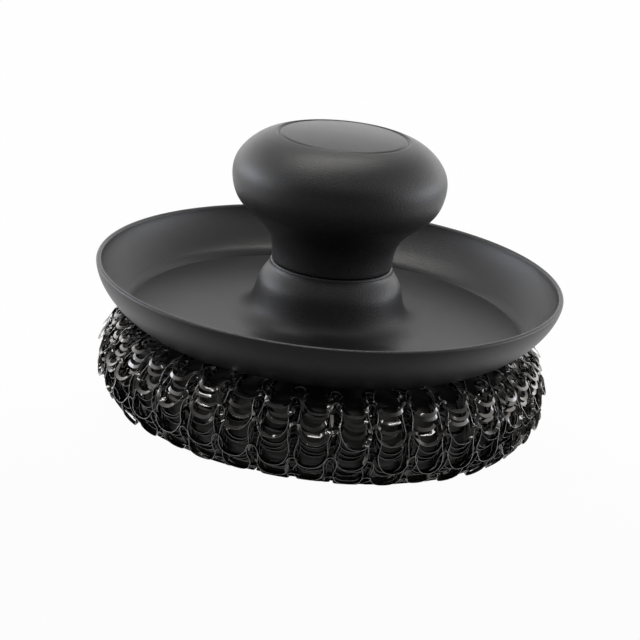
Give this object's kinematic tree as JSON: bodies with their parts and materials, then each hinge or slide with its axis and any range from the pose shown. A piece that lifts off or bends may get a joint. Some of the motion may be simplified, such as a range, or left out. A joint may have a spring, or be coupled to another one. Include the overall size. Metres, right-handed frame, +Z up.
{
  "type": "griddle brush",
  "caption": "Palm-held griddle brush: a mushroom knob that screws through a round splash tray and clamps a doughnut of knitted steel ribbon.",
  "frame": {"origin": "centre of the pad's working face, on the surface that the brush stands on", "axes": "+Z up along the axis of the knob, bolt, tray and pad; +X and +Y are any two directions across it, with a rib of the tray on +X"},
  "size_m": [0.1302, 0.1298, 0.084],
  "materials": {
    "black_plastic": "matte, fine moulded texture",
    "grey_plastic": "matte",
    "knitted_steel": "knitted flat steel ribbon, dark and glossy",
    "bright_steel": "satin, zinc plated",
    "brass": "satin",
    "black_rubber": "matte"
  },
  "bodies": {
    "base": {"tray": "black_plastic", "pad_retainer": "grey_plastic", "retainer_insert": "brass", "pad_sleeve": "knitted_steel", "pad_lining": "knitted_steel", "pad_roll": "knitted_steel", "upper_gather_ring": "bright_steel", "lower_gather_ring": "bright_steel"},
    "seal_carrier": {"neck_seal": "black_rubber"},
    "knob_group": {"knob": "black_plastic", "knob_cap": "black_plastic", "knob_bolt": "bright_steel", "bolt_retainer": "bright_steel"}
  },
  "joints": [
    {"name": "knob_lift", "type": "slide", "parent": "base", "child": "seal_carrier", "axis": [0, 0, 1], "range_m": [0, 0.015]},
    {"name": "knob_turn", "type": "hinge", "parent": "seal_carrier", "child": "knob_group", "pos_m": [0, 0, 0.0473], "axis": [0, 0, 1], "range_deg": [0, 4320]}
  ],
  "couplings": [
    {"joint": "knob_lift", "follows": "knob_turn", "m_per_rad": 0.00019894}
  ]
}
